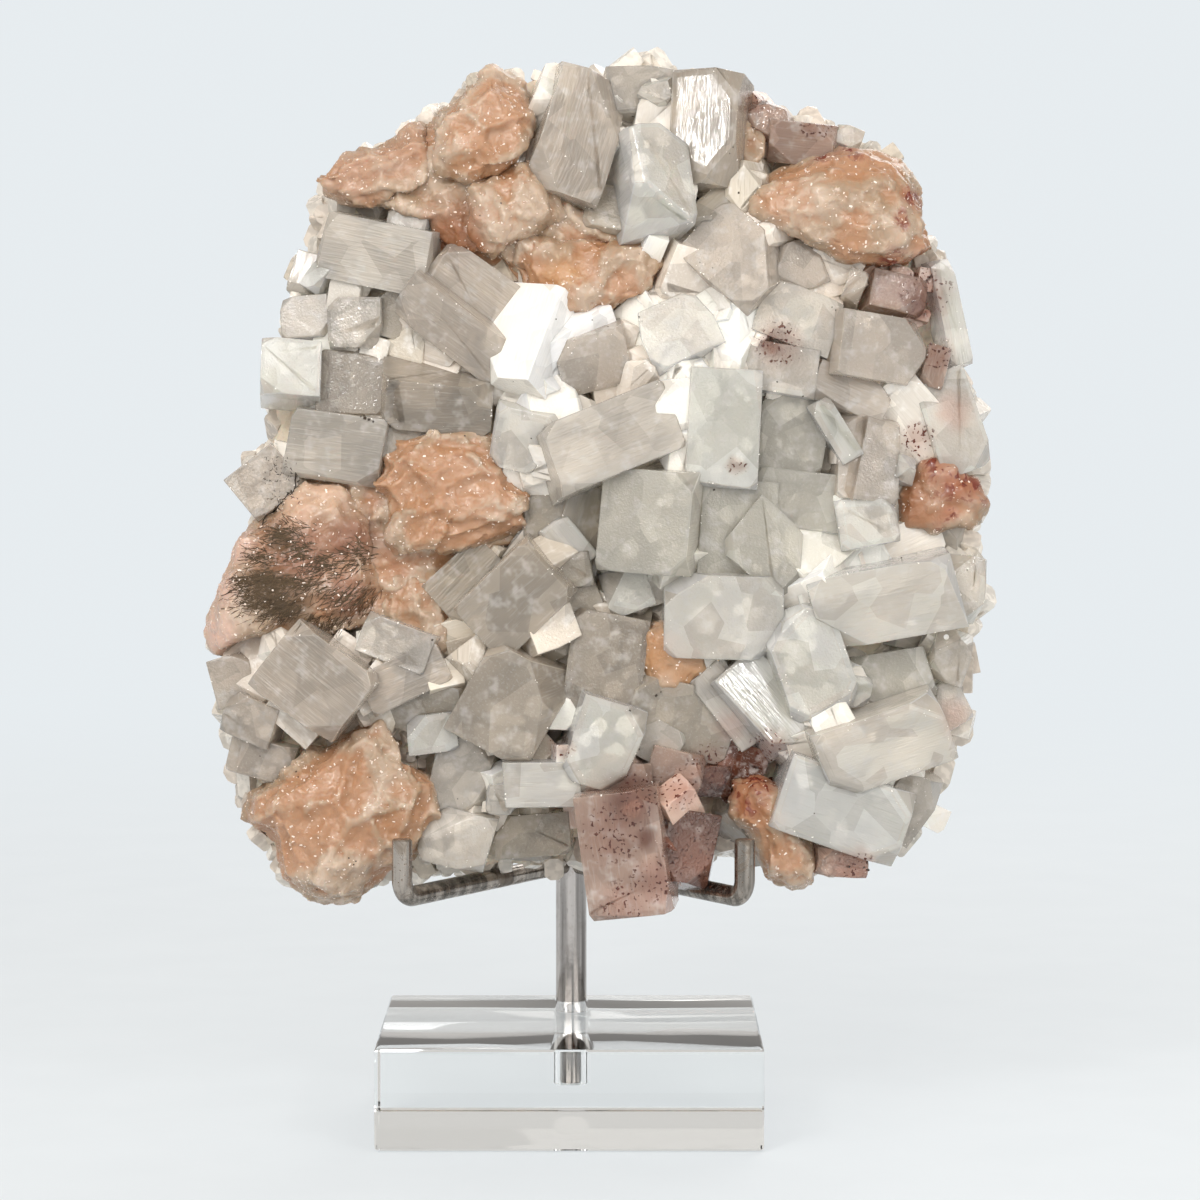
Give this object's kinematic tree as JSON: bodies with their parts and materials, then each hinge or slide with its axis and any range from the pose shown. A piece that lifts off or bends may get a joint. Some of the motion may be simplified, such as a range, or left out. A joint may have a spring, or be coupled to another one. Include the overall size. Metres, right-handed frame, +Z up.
{
  "type": "apophyllite and stilbite crystal cluster on a display stand",
  "caption": "Upright plate of blocky pale apophyllite crystals and peach stilbite, held by two hooked steel arms on a post in a clear block.",
  "frame": {"origin": "centre of the underside of the clear base block", "axes": "+Z up, -Y toward the viewer of the crystal face, +X to that viewer's right"},
  "size_m": [0.1969, 0.08, 0.2657],
  "materials": {
    "mineral": "milky translucent crystal faces with sugary peach stilbite",
    "post_steel": "polished round bar",
    "arm_steel": "worn and tarnished round rod",
    "clear_block": "clear polished acrylic"
  },
  "bodies": {
    "root": {"crystal_cluster": "mineral", "post": "post_steel", "left_arm": "arm_steel", "right_arm": "arm_steel", "back_rest": "arm_steel", "base": "clear_block"}
  },
  "joints": []
}
